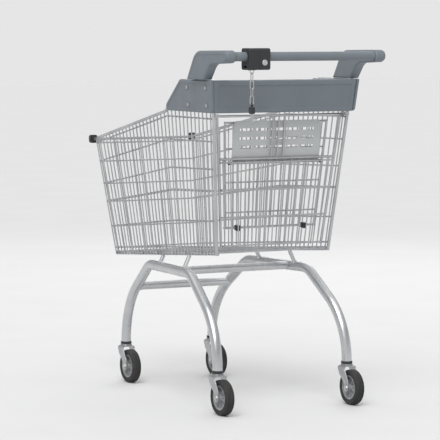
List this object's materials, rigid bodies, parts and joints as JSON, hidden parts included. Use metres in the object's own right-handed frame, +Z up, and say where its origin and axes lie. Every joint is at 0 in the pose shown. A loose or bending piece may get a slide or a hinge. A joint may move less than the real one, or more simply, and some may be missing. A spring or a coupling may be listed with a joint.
{
  "type": "shopping cart",
  "caption": "Nesting wire shopping cart on arched tube legs with swivel casters, a swing-up rear gate, a folding child seat and a chained coin lock on the handle.",
  "frame": {"origin": "on the floor under the middle of the cart's length and width", "axes": "+Y forward, the way the cart is pushed; +X to the pusher's right; +Z up"},
  "size_m": [0.534, 1.07, 1.064],
  "materials": {
    "zinc_tube": "bright zinc plate under clear lacquer",
    "zinc_wire": "bright zinc plated wire",
    "panel_plastic": "fine moulded grain, slate blue-grey",
    "dark_plastic": "moulded, dark grey",
    "seat_plastic": "moulded, mid grey",
    "tray_plastic": "moulded, light grey",
    "plain_steel": "zinc plated",
    "fork_steel": "pressed and zinc plated",
    "hub_plastic": "moulded, light grey",
    "tyre": "black, slightly worn",
    "bolt_steel": "zinc plated"
  },
  "bodies": {
    "frame": {"chassis_arch_left": "zinc_tube", "chassis_arch_right": "zinc_tube", "chassis_front_crossbar": "zinc_tube", "chassis_rear_crossbar": "zinc_tube", "basket_support_posts": "zinc_tube", "basket_side_left": "zinc_wire", "basket_side_right": "zinc_wire", "basket_front": "zinc_wire", "basket_floor": "zinc_wire", "basket_rim_left": "zinc_wire", "basket_rim_right": "zinc_wire", "basket_rim_front": "zinc_wire", "basket_rear_uprights": "zinc_wire", "gate_hinge_eyes": "zinc_wire", "rear_band": "panel_plastic", "side_plate_left": "panel_plastic", "side_plate_right": "panel_plastic", "handle_bracket_left": "panel_plastic", "handle_bracket_right": "panel_plastic", "handle_grip": "panel_plastic", "handle_end_caps": "panel_plastic", "coin_lock_housing": "dark_plastic", "front_bumpers": "dark_plastic", "caster_sockets": "dark_plastic", "handle_bar": "plain_steel", "side_plate_screws": "plain_steel", "chain_lug": "plain_steel"},
    "gate": {"gate_hinge_rod": "zinc_wire", "gate_posts": "zinc_wire", "gate_mid_rail": "zinc_wire", "gate_lower_grille": "zinc_wire", "seat_hinge_clips": "dark_plastic", "flap_hinge_clips": "dark_plastic"},
    "seat_back": {"seat_back_grille": "zinc_wire"},
    "seat_flap": {"seat_flap_panel": "seat_plastic"},
    "coin_tray_body": {"coin_tray": "tray_plastic"},
    "chain_link_1_body": {"chain_link_1": "plain_steel"},
    "chain_link_2_body": {"chain_link_2": "plain_steel"},
    "chain_link_3_body": {"chain_link_3": "plain_steel"},
    "chain_link_4_body": {"chain_link_4": "plain_steel"},
    "chain_key": {"chain_key_grip": "dark_plastic", "chain_key_tongue": "plain_steel"},
    "caster_rear_left": {"caster_rear_left_fork": "fork_steel", "caster_rear_left_axle": "bolt_steel"},
    "wheel_rear_left": {"caster_rear_left_hub": "hub_plastic", "caster_rear_left_tyre": "tyre"},
    "caster_rear_right": {"caster_rear_right_fork": "fork_steel", "caster_rear_right_axle": "bolt_steel"},
    "wheel_rear_right": {"caster_rear_right_hub": "hub_plastic", "caster_rear_right_tyre": "tyre"},
    "caster_front_left": {"caster_front_left_fork": "fork_steel", "caster_front_left_axle": "bolt_steel"},
    "wheel_front_left": {"caster_front_left_hub": "hub_plastic", "caster_front_left_tyre": "tyre"},
    "caster_front_right": {"caster_front_right_fork": "fork_steel", "caster_front_right_axle": "bolt_steel"},
    "wheel_front_right": {"caster_front_right_hub": "hub_plastic", "caster_front_right_tyre": "tyre"}
  },
  "joints": [
    {"name": "gate_swing", "type": "hinge", "parent": "frame", "child": "gate", "pos_m": [0, -0.36533, 0.866], "axis": [1, 0, 0], "range_deg": [0, 78]},
    {"name": "seat_back_fold", "type": "hinge", "parent": "gate", "child": "seat_back", "pos_m": [0, -0.30969, 0.53527], "axis": [-1, 0, 0], "range_deg": [0, 36]},
    {"name": "seat_flap_fold", "type": "hinge", "parent": "gate", "child": "seat_flap", "pos_m": [0, -0.34176, 0.72782], "axis": [-1, 0, 0], "range_deg": [0, 90]},
    {"name": "coin_tray_slide", "type": "slide", "parent": "frame", "child": "coin_tray_body", "axis": [1, 0, 0], "range_m": [0, 0.022]},
    {"name": "chain_link_1_swing", "type": "hinge", "parent": "frame", "child": "chain_link_1_body", "pos_m": [-0.182, -0.525, 0.9905], "axis": [1, 0, 0], "range_deg": [-25, 25]},
    {"name": "chain_link_2_swing", "type": "hinge", "parent": "chain_link_1_body", "child": "chain_link_2_body", "pos_m": [-0.182, -0.525, 0.9688], "axis": [0, 1, 0], "range_deg": [-25, 25]},
    {"name": "chain_link_3_swing", "type": "hinge", "parent": "chain_link_2_body", "child": "chain_link_3_body", "pos_m": [-0.182, -0.525, 0.9471], "axis": [1, 0, 0], "range_deg": [-25, 25]},
    {"name": "chain_link_4_swing", "type": "hinge", "parent": "chain_link_3_body", "child": "chain_link_4_body", "pos_m": [-0.182, -0.525, 0.9254], "axis": [0, 1, 0], "range_deg": [-25, 25]},
    {"name": "chain_key_swing", "type": "hinge", "parent": "chain_link_4_body", "child": "chain_key", "pos_m": [-0.182, -0.525, 0.9037], "axis": [1, 0, 0], "range_deg": [-25, 25]},
    {"name": "caster_rear_left_swivel", "type": "hinge", "parent": "frame", "child": "caster_rear_left", "pos_m": [-0.22, -0.39, 0.12], "axis": [0, 0, 1], "continuous": true},
    {"name": "wheel_rear_left_spin", "type": "hinge", "parent": "caster_rear_left", "child": "wheel_rear_left", "pos_m": [-0.22, -0.42, 0.0525], "axis": [1, 0, 0], "continuous": true},
    {"name": "caster_rear_right_swivel", "type": "hinge", "parent": "frame", "child": "caster_rear_right", "pos_m": [0.22, -0.39, 0.12], "axis": [0, 0, 1], "continuous": true},
    {"name": "wheel_rear_right_spin", "type": "hinge", "parent": "caster_rear_right", "child": "wheel_rear_right", "pos_m": [0.22, -0.42, 0.0525], "axis": [1, 0, 0], "continuous": true},
    {"name": "caster_front_left_swivel", "type": "hinge", "parent": "frame", "child": "caster_front_left", "pos_m": [-0.155, 0.34, 0.12], "axis": [0, 0, 1], "continuous": true},
    {"name": "wheel_front_left_spin", "type": "hinge", "parent": "caster_front_left", "child": "wheel_front_left", "pos_m": [-0.155, 0.31, 0.0525], "axis": [1, 0, 0], "continuous": true},
    {"name": "caster_front_right_swivel", "type": "hinge", "parent": "frame", "child": "caster_front_right", "pos_m": [0.155, 0.34, 0.12], "axis": [0, 0, 1], "continuous": true},
    {"name": "wheel_front_right_spin", "type": "hinge", "parent": "caster_front_right", "child": "wheel_front_right", "pos_m": [0.155, 0.31, 0.0525], "axis": [1, 0, 0], "continuous": true}
  ],
  "couplings": [
    {"joint": "seat_flap_fold", "follows": "seat_back_fold", "ratio": 2.5}
  ]
}
